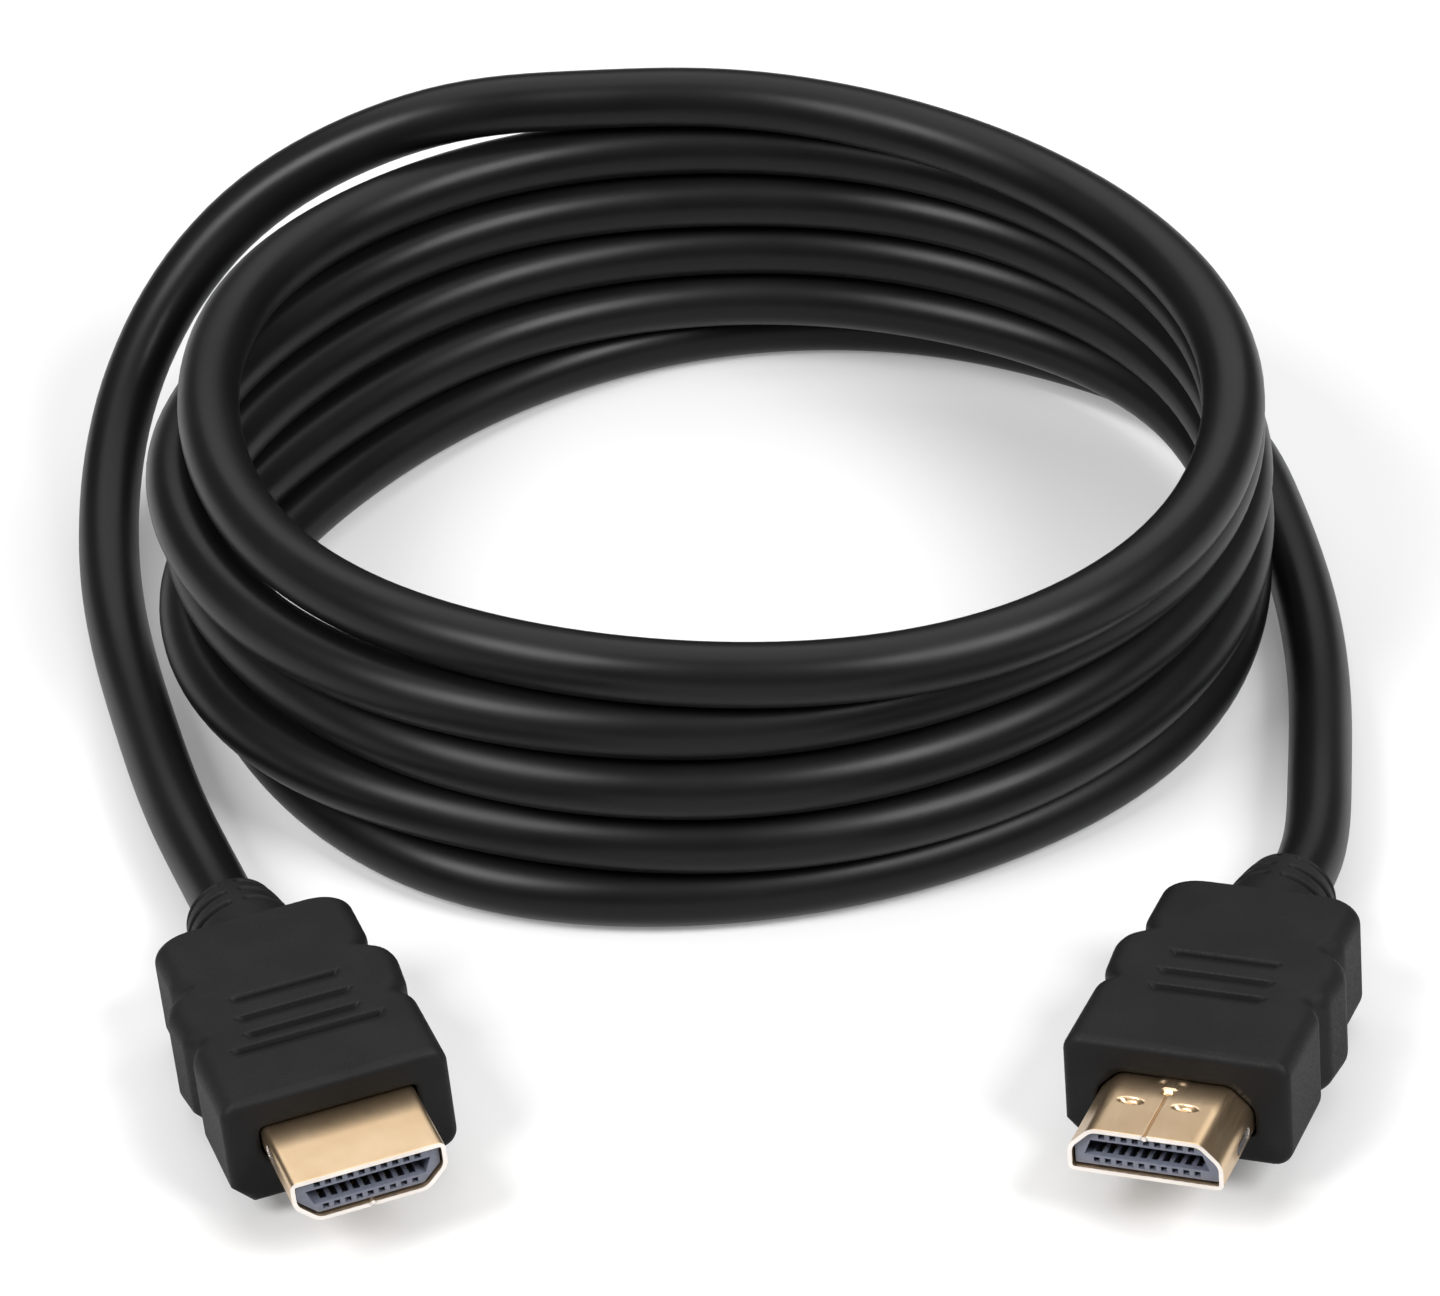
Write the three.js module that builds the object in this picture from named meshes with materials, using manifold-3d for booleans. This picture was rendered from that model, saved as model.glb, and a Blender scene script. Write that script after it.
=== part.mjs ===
// A coiled audio-video lead: a round black cable in a stack of turns, with a type-A plug on each end.
// Millimetres, +Z up. The coil lies flat and both plugs lie in front of it (towards -Y), mouths forward.
import * as THREE from 'three';
import { mergeVertices } from 'three/addons/utils/BufferGeometryUtils.js';
import Module from 'manifold-3d';

const wasm = await Module();
wasm.setup();

// Cable and coil
const CABLE_DIAMETER = 6;
const CABLE_SIDES = 10;
const CABLE_STEP = 2.5 * CABLE_DIAMETER;
const COIL_RADIUS = 48.5;
const COIL_LEVELS = 5;
const COIL_WANDER = 1;
const COIL_SEGMENTS = 56;
const VALLEY_DEPTH = 1.2;
const BULGE_STEPS = 4;
const TOUCH_GAP = 0.3;
const CUT_PAST = 1;
const ARC_STEPS = 3;

// Overmold: the moulded grip of a plug, measured back from its front face
const BODY_LENGTH = 27.8;
const BODY_WIDTH = 20.5;
const BODY_HEIGHT = 10.6;
const BODY_EDGE = 0.8;
const FRONT_CORNER = 1.1;
const REAR_CORNER = 1.8;
const OUTLINE_CORNER = 0.6;
const FRONT_BLOCK = 9.8;
const GROOVE_DEPTH = 0.8;
const GROOVE_LENGTH = 1.5;
const GROOVE_RISE = 1.2;
const MIDDLE_BULGE = 0.3;
const STEP_START = 16.8;
const STEP_DEPTH = 1.8;
const STEP_LENGTH = 2.2;
const REAR_SWELL = 0.6;
const REAR_RISE = 1.8;

// Strain relief: the round ribbed collar behind the grip, one piece with it
const COLLAR_DIAMETER = 10.5;
const COLLAR_END_DIAMETER = 8.2;
const COLLAR_END_ROUND = 0.4;
const COLLAR_LENGTH = 8.5;
const COLLAR_ROOT = 3;
const COLLAR_SEGMENTS = 28;
const RIB_COUNT = 3;
const RIB_PITCH = 2.1;
const RIB_WIDTH = 0.7;
const RIB_DEPTH = 0.6;
const RIB_FROM_END = 1;

// Type-A shell: a folded sheet tube with a D section, wide on one face and narrow on the other
const SHELL_WIDTH = 13.9;
const SHELL_NARROW = 9.9;
const SHELL_HEIGHT = 4.45;
const SHELL_SIDE = 2.5;
const SHELL_WALL = 0.4;
const SHELL_REACH = 9;
const SHELL_SEAT = 2;
const SHELL_CORNER = 0.7;
const SMALLEST_CORNER = 0.15;
const SPRING_SLOT_LENGTH = 3.6;
const SPRING_SLOT_HEIGHT = 1;
const SPRING_SLOT_FROM_BODY = 1.2;

// Contact carrier and contacts inside the shell
const FIT_CLEARANCE = 0.15;
const CARRIER_RECESS = 0.5;
const CARRIER_BASE = 1.5;
const CARRIER_LAP = 0.1;
const FACE_PLATE = 0.6;
const SLOT_HEIGHT = 1.5;
const SLOT_WIDE = 11.2;
const SLOT_NARROW = 10;
const CHANNEL_DEPTH = 0.7;
const WINDOW_WIDTH = 0.55;
const WINDOW_HEIGHT = 0.5;
const CONTACT_PITCH = 1;
const WIDE_CONTACTS = 10;
const NARROW_CONTACTS = 9;
const CONTACT_WIDTH = 0.4;
const CONTACT_THICKNESS = 0.25;
const CONTACT_RECESS = 2;
const CONTACT_CLEARANCE = 0.1;

// Where each plug lies: the rear end of its strain relief, as the distance outside the coil's centre line
// and the bearing round the coil in degrees, and how the plug is turned
const LEFT_PLUG = { out: 20.5, bearing: 228.3, yaw: 18.5, pitch: 4.5, bank: 3, wideUp: true };
const RIGHT_PLUG = { out: 24.5, bearing: 314.3, yaw: -21.5, pitch: 5, bank: 5, wideUp: false };

// Routes of the two tails from the plug to the coil: distance outside the coil's centre line,
// bearing round the coil in degrees, and height of the cable's middle
const LEFT_ROUTE = [
  [14.3, 215.6, 4.2],
  [10.4, 198.3, 3.2],
  [11.8, 178.1, 3.4],
  [15, 165.4, 5.5],
  [17.8, 154.9, 10.5],
  [17.8, 146.4, 17.5],
  [15, 138.9, 24],
  [9.6, 130.6, 29.5],
  [3.4, 119.1, 33.5],
  [0.2, 105.5, 33.5],
];
const RIGHT_ROUTE = [
  [16.5, 328.2, 4.2],
  [11.2, 342, 3.2],
  [8.4, 358.1, 3],
  [8.6, 374.4, 3],
  [10.6, 387, 3],
  [10, 398.8, 3],
  [7.5, 410.6, 3],
  [7.5, 422.9, 3],
];
const TOP_PASS_FROM = 95;
const TOP_PASS_TO = 15;
const TOP_PASS_STEP = 16;

const JACKET = new THREE.MeshStandardMaterial({ color: 0x151516, roughness: 0.42, metalness: 0 });
const MOULDED = new THREE.MeshStandardMaterial({ color: 0x232324, roughness: 0.68, metalness: 0 });
const GOLD = new THREE.MeshStandardMaterial({ color: 0xd3b384, roughness: 0.3, metalness: 1 });
const CARRIER_PLASTIC = new THREE.MeshStandardMaterial({ color: 0x5d6570, roughness: 0.55, metalness: 0 });
const CONTACT_METAL = new THREE.MeshStandardMaterial({ color: 0xe0b25c, roughness: 0.28, metalness: 1 });

const radians = THREE.MathUtils.degToRad;

/** A point at a bearing round the coil, at a distance outside the coil's centre line and a height. */
function aroundCoil([out, bearing, height]) {
  const reach = COIL_RADIUS + out;
  return new THREE.Vector3(reach * Math.cos(radians(bearing)), reach * Math.sin(radians(bearing)), height);
}

/** A closed geometry as a manifold-3d solid. */
function toSolid(geometry) {
  const bare = geometry.clone();
  bare.deleteAttribute('normal');
  bare.deleteAttribute('uv');
  const merged = mergeVertices(bare, 1e-5);
  return new wasm.Manifold(new wasm.Mesh({
    numProp: 3,
    vertProperties: new Float32Array(merged.attributes.position.array),
    triVerts: new Uint32Array(merged.index.array),
  }));
}

/** A manifold-3d solid as a three.js geometry. */
function toGeometry(solid) {
  const mesh = solid.getMesh();
  const geometry = new THREE.BufferGeometry();
  geometry.setAttribute('position', new THREE.BufferAttribute(new Float32Array(mesh.vertProperties), 3));
  geometry.setIndex(new THREE.BufferAttribute(new Uint32Array(mesh.triVerts), 1));
  geometry.computeVertexNormals();
  return geometry;
}

/** A polygon with rounded corners; each corner is [x, y, radius]. */
function roundedOutline(corners, path) {
  corners.forEach(([x, y, radius], i) => {
    const here = new THREE.Vector2(x, y);
    const before = new THREE.Vector2(...corners[(i + corners.length - 1) % corners.length]);
    const after = new THREE.Vector2(...corners[(i + 1) % corners.length]);
    const start = here.clone().add(before.sub(here).setLength(radius));
    const end = here.clone().add(after.sub(here).setLength(radius));
    if (i === 0) path.moveTo(start.x, start.y);
    else path.lineTo(start.x, start.y);
    if (radius > 0) path.quadraticCurveTo(x, y, end.x, end.y);
  });
  path.closePath();
  return path;
}

/** The D section of the shell, set in by a distance from its outer face. */
function shellCorners(inset, wideUp) {
  const up = wideUp ? 1 : -1;
  const half = SHELL_HEIGHT / 2;
  const slope = Math.atan2((SHELL_WIDTH - SHELL_NARROW) / 2, SHELL_HEIGHT - SHELL_SIDE);
  const wide = SHELL_WIDTH / 2 - inset;
  const sideEnd = half - SHELL_SIDE + inset * Math.tan(slope / 2);
  const narrow = SHELL_NARROW / 2 - inset * Math.tan((Math.PI / 2 - slope) / 2);
  const corner = Math.max(SHELL_CORNER - inset, SMALLEST_CORNER);
  const corners = [
    [-wide, up * (half - inset), corner],
    [-wide, up * sideEnd, corner],
    [-narrow, up * (inset - half), corner],
    [narrow, up * (inset - half), corner],
    [wide, up * sideEnd, corner],
    [wide, up * (half - inset), corner],
  ];
  return wideUp ? corners : corners.reverse();
}

/** An outline in the plug's cross section, carried forward (-Y) from one depth by a length. */
function sectionPrism(shape, fromY, length) {
  const geometry = new THREE.ExtrudeGeometry(shape, {
    depth: length,
    bevelEnabled: false,
    curveSegments: ARC_STEPS,
  });
  geometry.rotateX(Math.PI / 2);
  geometry.translate(0, fromY, BODY_HEIGHT / 2);
  return geometry;
}

/** The grip seen from above: a square front block, a groove, a swelling middle and a narrower rear. */
function gripOutline() {
  const half = BODY_WIDTH / 2;
  const grooveEnd = FRONT_BLOCK + GROOVE_LENGTH;
  const stepEnd = STEP_START + STEP_LENGTH;
  const rearHalf = half - STEP_DEPTH + REAR_SWELL;
  const side = [
    [half, 0, FRONT_CORNER],
    [half, FRONT_BLOCK, OUTLINE_CORNER],
    [half - GROOVE_DEPTH, grooveEnd, OUTLINE_CORNER],
    [half, grooveEnd + GROOVE_RISE, OUTLINE_CORNER],
    [half + MIDDLE_BULGE, STEP_START, OUTLINE_CORNER],
    [half - STEP_DEPTH, stepEnd, OUTLINE_CORNER],
    [rearHalf, stepEnd + REAR_RISE, OUTLINE_CORNER],
    [rearHalf, BODY_LENGTH, REAR_CORNER],
  ];
  const otherSide = side.map(([x, y, radius]) => [-x, y, radius]).reverse();
  return roundedOutline([...side, ...otherSide], new THREE.Shape());
}

/** The round strain relief, turned about the cable's axis, with shallow rib grooves near its end. */
function collarGeometry() {
  const radius = COLLAR_DIAMETER / 2;
  const endRadius = COLLAR_END_DIAMETER / 2;
  const rear = BODY_LENGTH + COLLAR_LENGTH;
  const profile = [[0, BODY_LENGTH - COLLAR_ROOT], [radius, BODY_LENGTH - COLLAR_ROOT]];
  const surfaceAt = (y) => radius - (radius - endRadius) * ((y - BODY_LENGTH) / COLLAR_LENGTH) ** 2;
  for (let rib = RIB_COUNT - 1; rib >= 0; rib -= 1) {
    const centre = rear - RIB_FROM_END - rib * RIB_PITCH;
    profile.push([surfaceAt(centre - RIB_WIDTH / 2), centre - RIB_WIDTH / 2]);
    profile.push([surfaceAt(centre) - RIB_DEPTH, centre]);
    profile.push([surfaceAt(centre + RIB_WIDTH / 2), centre + RIB_WIDTH / 2]);
  }
  profile.push([endRadius - COLLAR_END_ROUND, rear], [0, rear]);
  const points = profile.map(([r, y]) => new THREE.Vector2(r, y));
  return new THREE.LatheGeometry(points, COLLAR_SEGMENTS).translate(0, 0, BODY_HEIGHT / 2);
}

/** The grip and strain relief as one moulding, with the pocket that the shell's root sits in. */
function overmoldGeometry(wideUp) {
  const grip = new THREE.ExtrudeGeometry(gripOutline(), {
    depth: BODY_HEIGHT - 2 * BODY_EDGE,
    bevelThickness: BODY_EDGE,
    bevelSize: BODY_EDGE,
    bevelOffset: -BODY_EDGE,
    bevelSegments: 2,
    curveSegments: ARC_STEPS,
  });
  grip.translate(0, 0, BODY_EDGE);
  const pocketShape = roundedOutline(shellCorners(-TOUCH_GAP, wideUp), new THREE.Shape());
  const pocketDepth = SHELL_SEAT + TOUCH_GAP;
  const pocket = sectionPrism(pocketShape, pocketDepth, pocketDepth + CUT_PAST);
  return toGeometry(toSolid(grip).add(toSolid(collarGeometry())).subtract(toSolid(pocket)));
}

/** The sheet-metal D tube, with a spring slot cut through each side wall near its root. */
function shellGeometry(wideUp) {
  const shape = roundedOutline(shellCorners(0, wideUp), new THREE.Shape());
  shape.holes.push(roundedOutline(shellCorners(SHELL_WALL, wideUp), new THREE.Path()));
  const tube = toSolid(sectionPrism(shape, SHELL_SEAT, SHELL_SEAT + SHELL_REACH));
  const slot = new THREE.BoxGeometry(SHELL_WIDTH + 2 * CUT_PAST, SPRING_SLOT_LENGTH, SPRING_SLOT_HEIGHT);
  const sideMiddle = (wideUp ? 1 : -1) * (SHELL_HEIGHT - SHELL_SIDE) / 2;
  slot.translate(0, -SPRING_SLOT_FROM_BODY - SPRING_SLOT_LENGTH / 2, BODY_HEIGHT / 2 + sideMiddle);
  return toGeometry(tube.subtract(toSolid(slot)));
}

/** One side of the carrier's opening: a comb of grooves, one for each contact, from left to right. */
function combEdge(count, halfWidth, level) {
  const half = CONTACT_WIDTH / 2 + CONTACT_CLEARANCE;
  const points = [[-halfWidth, level]];
  for (let i = 0; i < count; i += 1) {
    const x = (i - (count - 1) / 2) * CONTACT_PITCH;
    const deep = level + Math.sign(level) * CHANNEL_DEPTH;
    points.push([x - half, level], [x - half, deep], [x + half, deep], [x + half, level]);
  }
  points.push([halfWidth, level]);
  return points;
}

/** An outline through points, as a hole. */
function holeThrough(points) {
  const hole = new THREE.Path();
  hole.setFromPoints(points.map(([x, y]) => new THREE.Vector2(x, y)));
  return hole;
}

/** Blocks that cut the windows in the carrier's face, one in front of each contact of a row. */
function windowBlocks(count, level, face) {
  const z = BODY_HEIGHT / 2 + level + Math.sign(level) * (CHANNEL_DEPTH - WINDOW_HEIGHT / 2);
  return Array.from({ length: count }, (_, i) => {
    const x = (i - (count - 1) / 2) * CONTACT_PITCH;
    const block = new THREE.BoxGeometry(WINDOW_WIDTH, 2 * FACE_PLATE, WINDOW_HEIGHT);
    return toSolid(block.translate(x, face + FACE_PLATE / 2, z));
  });
}

/** The plastic carrier: channelled walls around the opening, a face plate with windows, and a base. */
function carrierGeometry(wideUp) {
  const wideLevel = (wideUp ? 1 : -1) * SLOT_HEIGHT / 2;
  const outer = shellCorners(SHELL_WALL + FIT_CLEARANCE, wideUp);
  const solidFrame = () => roundedOutline(outer, new THREE.Shape());
  const walls = solidFrame();
  const wideEdge = combEdge(WIDE_CONTACTS, SLOT_WIDE / 2, wideLevel);
  const narrowEdge = combEdge(NARROW_CONTACTS, SLOT_NARROW / 2, -wideLevel);
  walls.holes.push(holeThrough([...wideEdge, ...narrowEdge.reverse()]));
  const plate = solidFrame();
  const slot = [
    [-SLOT_WIDE / 2, wideLevel],
    [SLOT_WIDE / 2, wideLevel],
    [SLOT_NARROW / 2, -wideLevel],
    [-SLOT_NARROW / 2, -wideLevel],
  ];
  plate.holes.push(holeThrough(slot));
  const face = CARRIER_RECESS - SHELL_REACH;
  const wallLength = SHELL_SEAT - face - FACE_PLATE + CARRIER_LAP;
  const wallSolid = toSolid(sectionPrism(walls, SHELL_SEAT, wallLength));
  const plateSolid = toSolid(sectionPrism(plate, face + FACE_PLATE, FACE_PLATE));
  const base = toSolid(sectionPrism(solidFrame(), SHELL_SEAT, CARRIER_BASE));
  let carrier = wallSolid.add(base).add(plateSolid);
  const windows = [
    ...windowBlocks(WIDE_CONTACTS, wideLevel, face),
    ...windowBlocks(NARROW_CONTACTS, -wideLevel, face),
  ];
  for (const block of windows) carrier = carrier.subtract(block);
  return toGeometry(carrier);
}

/** One straight contact strip, lying at the bottom of its channel between the base and the windows. */
function contactGeometry(x, level) {
  const front = CARRIER_RECESS + CONTACT_RECESS - SHELL_REACH;
  const rear = SHELL_SEAT - CARRIER_BASE - CONTACT_CLEARANCE;
  const z = level + Math.sign(level) * (CHANNEL_DEPTH - CONTACT_CLEARANCE - CONTACT_THICKNESS / 2);
  const strip = new THREE.BoxGeometry(CONTACT_WIDTH, rear - front, CONTACT_THICKNESS);
  return strip.translate(x, (front + rear) / 2, BODY_HEIGHT / 2 + z);
}

function namedMesh(name, geometry, material) {
  const mesh = new THREE.Mesh(geometry, material);
  mesh.name = name;
  return mesh;
}

/** One plug in its own frame: front face at y = 0, mouth towards -Y, grip lying on z = 0. */
function buildPlug(prefix, wideUp) {
  const plug = new THREE.Group();
  plug.add(namedMesh(`${prefix}_plug_overmold`, overmoldGeometry(wideUp), MOULDED));
  plug.add(namedMesh(`${prefix}_plug_shell`, shellGeometry(wideUp), GOLD));
  plug.add(namedMesh(`${prefix}_contact_carrier`, carrierGeometry(wideUp), CARRIER_PLASTIC));
  const rows = [
    { row: 'wide', count: WIDE_CONTACTS, level: (wideUp ? 1 : -1) * SLOT_HEIGHT / 2 },
    { row: 'narrow', count: NARROW_CONTACTS, level: (wideUp ? -1 : 1) * SLOT_HEIGHT / 2 },
  ];
  for (const { row, count, level } of rows) {
    for (let i = 0; i < count; i += 1) {
      const x = (i - (count - 1) / 2) * CONTACT_PITCH;
      plug.add(namedMesh(`${prefix}_contact_${row}_${i + 1}`, contactGeometry(x, level), CONTACT_METAL));
    }
  }
  return plug;
}

/** Turns the plug, rests its lowest point on the floor and puts its strain relief's end in place. */
function placePlug(plug, { out, bearing, yaw, pitch, bank }) {
  const end = aroundCoil([out, bearing, 0]);
  plug.rotation.set(radians(-pitch), radians(-bank), radians(yaw), 'ZXY');
  const rear = new THREE.Vector3(0, BODY_LENGTH + COLLAR_LENGTH, BODY_HEIGHT / 2).applyEuler(plug.rotation);
  plug.position.set(end.x - rear.x, end.y - rear.y, 0);
  plug.updateMatrixWorld(true);
  plug.position.z = -new THREE.Box3().setFromObject(plug, true).min.z;
  plug.updateMatrixWorld(true);
  return plug;
}

/** The round cable along a smooth route that starts straight out of the plug's strain relief. */
function tailGeometry(plug, route) {
  const rear = BODY_LENGTH + COLLAR_LENGTH + TOUCH_GAP;
  const lead = [0, CABLE_DIAMETER].map(
    (out) => new THREE.Vector3(0, rear + out, BODY_HEIGHT / 2).applyMatrix4(plug.matrixWorld),
  );
  const points = [...lead, ...route.map(aroundCoil)];
  const path = new THREE.CatmullRomCurve3(points, false, 'centripetal');
  const section = new THREE.Shape();
  section.absarc(0, 0, CABLE_DIAMETER / 2, 0, 2 * Math.PI, false);
  return new THREE.ExtrudeGeometry(section, {
    steps: Math.ceil(path.getLength() / CABLE_STEP),
    extrudePath: path,
    curveSegments: CABLE_SIDES,
  });
}

/** The last half turn of the left tail, which lies on top of the stack at the back. */
function topPass() {
  const level = COIL_LEVELS * CABLE_DIAMETER + TOUCH_GAP + CABLE_DIAMETER / 2;
  const points = [];
  for (let degrees = TOP_PASS_FROM; degrees >= TOP_PASS_TO; degrees -= TOP_PASS_STEP) {
    points.push([0, degrees, level]);
  }
  return points;
}

/** The stacked turns as one ring: each level bulges out on both sides, with a valley between levels. */
function coilGeometry() {
  const valley = CABLE_DIAMETER / 2 + COIL_WANDER - VALLEY_DEPTH;
  const side = [];
  for (let step = 0; step < COIL_LEVELS * BULGE_STEPS; step += 1) {
    const bulge = Math.sin(Math.PI * (step % BULGE_STEPS) / BULGE_STEPS);
    side.push([valley + VALLEY_DEPTH * bulge, step * CABLE_DIAMETER / BULGE_STEPS]);
  }
  side.push([valley, COIL_LEVELS * CABLE_DIAMETER]);
  const outer = side.map(([reach, z]) => new THREE.Vector2(COIL_RADIUS + reach, z));
  const inner = side.map(([reach, z]) => new THREE.Vector2(COIL_RADIUS - reach, z)).reverse();
  const profile = [...outer, ...inner, outer[0].clone()];
  return new THREE.LatheGeometry(profile, COIL_SEGMENTS).rotateX(Math.PI / 2);
}

const assembly = new THREE.Group();
assembly.add(namedMesh('cable_coil', coilGeometry(), JACKET));

const leftPlug = placePlug(buildPlug('left', LEFT_PLUG.wideUp), LEFT_PLUG);
const rightPlug = placePlug(buildPlug('right', RIGHT_PLUG.wideUp), RIGHT_PLUG);
assembly.add(leftPlug, rightPlug);
assembly.add(namedMesh('left_cable_tail', tailGeometry(leftPlug, [...LEFT_ROUTE, ...topPass()]), JACKET));
assembly.add(namedMesh('right_cable_tail', tailGeometry(rightPlug, RIGHT_ROUTE), JACKET));

// The origin is the middle of the whole object's footprint, on the floor
const box = new THREE.Box3().setFromObject(assembly, true);
const middle = box.getCenter(new THREE.Vector3());
assembly.position.set(-middle.x, -middle.y, -box.min.z);
assembly.updateMatrixWorld(true);

const lead = new THREE.Group();
lead.add(assembly);

export default lead;
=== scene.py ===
# %% [markdown]
# # A coiled audio-video lead with a type-A plug on each end
# The real thing is one black round cable, 1.8 m long and 6 mm thick, wound into five stacked turns,
# with a moulded plug on each end: a black PVC grip, a gold-plated steel shell and a plastic carrier
# that holds nineteen contacts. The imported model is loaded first, as a fixed frame. Every piece made
# below lies where that frame says, so nothing has to be fitted by eye.

import bmesh
import bpy
import numpy as np
from mathutils import Matrix, Vector


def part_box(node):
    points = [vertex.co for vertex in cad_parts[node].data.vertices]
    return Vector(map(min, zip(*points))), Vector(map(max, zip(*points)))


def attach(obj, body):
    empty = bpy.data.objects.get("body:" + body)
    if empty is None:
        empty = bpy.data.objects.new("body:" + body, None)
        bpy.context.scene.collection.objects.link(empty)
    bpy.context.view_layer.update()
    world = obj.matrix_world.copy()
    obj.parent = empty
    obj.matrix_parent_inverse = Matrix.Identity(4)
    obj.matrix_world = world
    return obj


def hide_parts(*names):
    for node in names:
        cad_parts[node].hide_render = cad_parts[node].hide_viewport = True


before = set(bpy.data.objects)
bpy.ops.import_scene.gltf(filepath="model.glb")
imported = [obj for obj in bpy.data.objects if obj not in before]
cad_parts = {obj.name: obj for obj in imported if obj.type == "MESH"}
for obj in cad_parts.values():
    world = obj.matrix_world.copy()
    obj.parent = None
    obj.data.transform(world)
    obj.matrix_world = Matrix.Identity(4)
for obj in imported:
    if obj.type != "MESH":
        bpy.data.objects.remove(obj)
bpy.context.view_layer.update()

MM = 0.001
scene = bpy.context.scene


# %% [markdown]
# ## Camera
# The photograph looks down at 35 degrees from straight in front of the plugs, through a long lens.
# A long lens keeps both plugs nearly the same size, and the small roll follows the picture's tilt.
# The focal length is given in pixels of a picture 1440 pixels wide, which the sensor's width turns
# into millimetres. The camera looks at a point on the table near the middle of the coil: LOOK_SHIFT
# says how far to the left of it, and how far from it towards the plugs, in mm.

# %% Place the camera
PICTURE_WIDTH = 1440
FOCAL_PIXELS = 6110
SENSOR_WIDTH = 36
ELEVATION = np.radians(35)
ROLL = np.radians(1.5)
CAMERA_DISTANCE = 0.6
NEAREST_SEEN = 0.02
COIL_CENTRE = np.add(*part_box("cable_coil"))[:2] / 2 / MM
LOOK_SHIFT = [0.6, 3.8]
LOOK_AT = np.append(COIL_CENTRE - LOOK_SHIFT, 0) * MM

lens = bpy.data.cameras.new("photo_camera")
lens.sensor_fit = "HORIZONTAL"
lens.sensor_width = SENSOR_WIDTH
lens.lens = FOCAL_PIXELS / PICTURE_WIDTH * SENSOR_WIDTH
lens.clip_start = NEAREST_SEEN
camera = bpy.data.objects.new("photo_camera", lens)
scene.collection.objects.link(camera)
camera.location = LOOK_AT + CAMERA_DISTANCE * np.array([0, -np.cos(ELEVATION), np.sin(ELEVATION)])
tilt = Matrix.Rotation(np.pi / 2 - ELEVATION, 3, "X") @ Matrix.Rotation(-ROLL, 3, "Z")
camera.rotation_euler = tilt.to_euler()
scene.camera = camera
print("camera: lens", round(lens.lens, 1), "mm at", [round(c, 3) for c in camera.location])

# %% [markdown]
# ## Where the plugs lie
# Each plug is worked out in its own frame: its front face at y = 0, its mouth towards -y, its grip
# lying on z = 0 and its axis 5.3 mm up. Three small turns then lay it on the table. Its place comes
# from the frame: the middle of its two outermost wide contacts is known in both frames.

# %% Plug frames
AXIS_HEIGHT = 5.3
COLLAR_END = 36.3
CONTACT_MIDDLE = -3.05
CONTACT_RISE = 1.225


def turn(degrees, axis):
    """A 3 x 3 turn about one axis."""
    return np.array(Matrix.Rotation(np.radians(degrees), 3, axis))


class PlugPlace:
    """One plug's turn and place; at() carries points in mm from the plug's frame to the table's."""

    def __init__(self, side, yaw, pitch, bank, wide_up):
        self.side = side
        self.wide_up = wide_up
        self.rotation = turn(yaw, "Z") @ turn(-pitch, "X") @ turn(-bank, "Y")
        contacts = [f"{side}_contact_wide_1", f"{side}_contact_wide_10"]
        middle = np.mean([np.add(*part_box(node)) / 2 for node in contacts], axis=0) / MM
        own = np.array([0, CONTACT_MIDDLE, AXIS_HEIGHT + (1 if wide_up else -1) * CONTACT_RISE])
        self.offset = middle - self.rotation @ own

    def at(self, points):
        """Turns and moves points, an array whose last axis is x, y, z."""
        return np.asarray(points, float) @ self.rotation.T + self.offset


left_plug = PlugPlace("left", yaw=18.5, pitch=4.5, bank=3, wide_up=True)
right_plug = PlugPlace("right", yaw=-21.5, pitch=5, bank=5, wide_up=False)
for plug in (left_plug, right_plug):
    print(plug.side, "strain relief ends at", plug.at([0, COLLAR_END, AXIS_HEIGHT]).round(2), "mm")

# %% [markdown]
# ## The cable's route
# A wound cable is one smooth curve: out of the left plug, along the table, up over the back of the
# coil, five turns down, and off along the table to the right plug. It could be a perfect helix, but
# a hand-wound coil wanders, and each turn shows a little beside its neighbour. So every turn has its
# own radius every 30 degrees. A natural cubic spline through all these points keeps the bend smooth.

# %% Route points
CABLE_RADIUS = 3
COIL_RADIUS = 48.5
LEFT_ROUTE = [
    (14.3, 215.6, 4.2), (10.4, 198.3, 3.2), (11.8, 178.1, 3.4), (15, 165.4, 5.5), (17.8, 154.9, 10.5),
    (17.8, 146.4, 17.5), (15, 138.9, 24), (9.6, 130.6, 29.5), (2.9, 119.1, 33.4), (-0.5, 105.5, 33.5),
]
RIGHT_ROUTE = [
    (16.5, 328.2, 4.2), (11.2, 342, 3.2), (8.4, 358.1, 3), (8.5, 374.4, 3), (10.2, 387, 3),
    (9.8, 398.8, 3), (8, 410.6, 3), (6.3, 422.9, 3),
]
# One row for each turn from the top down: its radius at the back, and then every 30 degrees clockwise
TURN_RADII = np.array([
    [46.7, 45.2, 46.0, 48.7, 50.0, 48.7, 47.0, 46.7, 47.6, 49.2, 51.2, 49.2],
    [47.6, 48.5, 49.0, 49.5, 48.0, 45.6, 46.4, 48.4, 50.9, 52.6, 50.5, 48.3],
    [47.2, 49.3, 50.3, 50.5, 48.0, 46.5, 47.4, 48.7, 49.6, 51.4, 48.8, 47.3],
    [47.7, 50.0, 51.6, 50.8, 49.0, 47.4, 47.5, 49.1, 52.4, 51.6, 46.8, 46.0],
    [47.4, 50.0, 52.6, 50.8, 48.8, 46.2, 47.1, 49.8, 49.2, 48.5, 44.9, 45.7],
])
LAST_RADIUS = 50.4
TURNS, STATIONS = TURN_RADII.shape
BACK_BEARING = 90
# The lowest turn first lies over the cable's last stretch, and then sinks to the table
BOTTOM_HEIGHTS = [8.8, 8.2, 7.6, 5.8, 3.8, 3, 3, 3, 3, 3, 3, 3, 3]
TOUCH_DISTANCE = 6.1
LEAST_RISE = 5.7
# A plug's end of the route lies 2 mm inside its strain relief, and is straight to 6 mm behind it
STRAIGHT_STRETCH = [-2, 6]


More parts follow.
